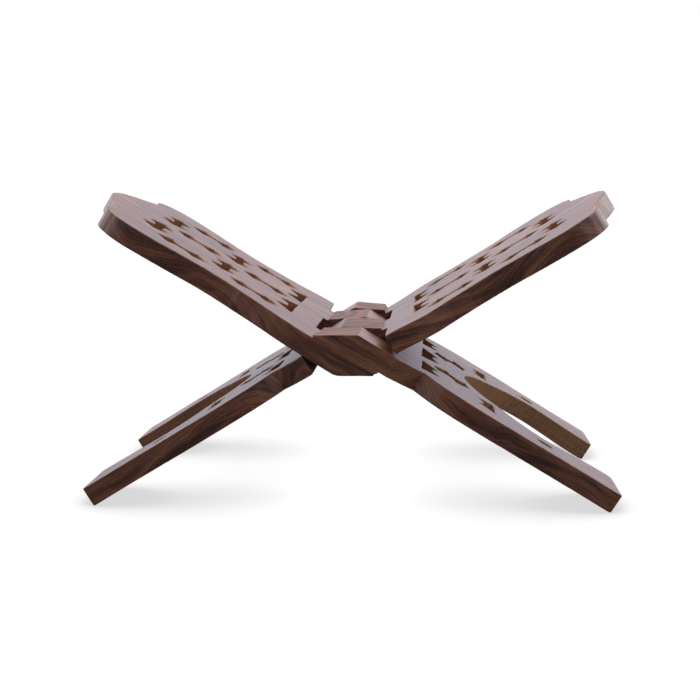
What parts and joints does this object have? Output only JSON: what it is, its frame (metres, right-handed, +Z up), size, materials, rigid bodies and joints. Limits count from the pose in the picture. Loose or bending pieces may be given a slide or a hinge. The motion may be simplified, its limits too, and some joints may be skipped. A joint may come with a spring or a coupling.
{
  "type": "folding book stand",
  "caption": "X-shaped folding wooden stand that holds an open book in a shallow V, cut from one plank with pierced rests, arched legs and a pinless knuckle hinge.",
  "frame": {"origin": "on the ground, straight below the middle of the hinge, with the stand open", "axes": "+X across the open stand from the left book rest to the right one, +Y along the hinge axis away from the reader's near side, +Z up"},
  "size_m": [0.2746, 0.1524, 0.1569],
  "materials": {
    "oiled_hardwood": "dark rosewood-like hardwood, hand cut, thinly oiled and buffed to a satin sheen"
  },
  "bodies": {
    "left_half": {"left_rest_half": "oiled_hardwood"},
    "right_half": {"right_rest_half": "oiled_hardwood"}
  },
  "joints": [
    {"name": "fold", "type": "hinge", "parent": "left_half", "child": "right_half", "pos_m": [0, 0, 0.07751], "axis": [0, -1, 0], "range_deg": [0, 117.1]}
  ]
}
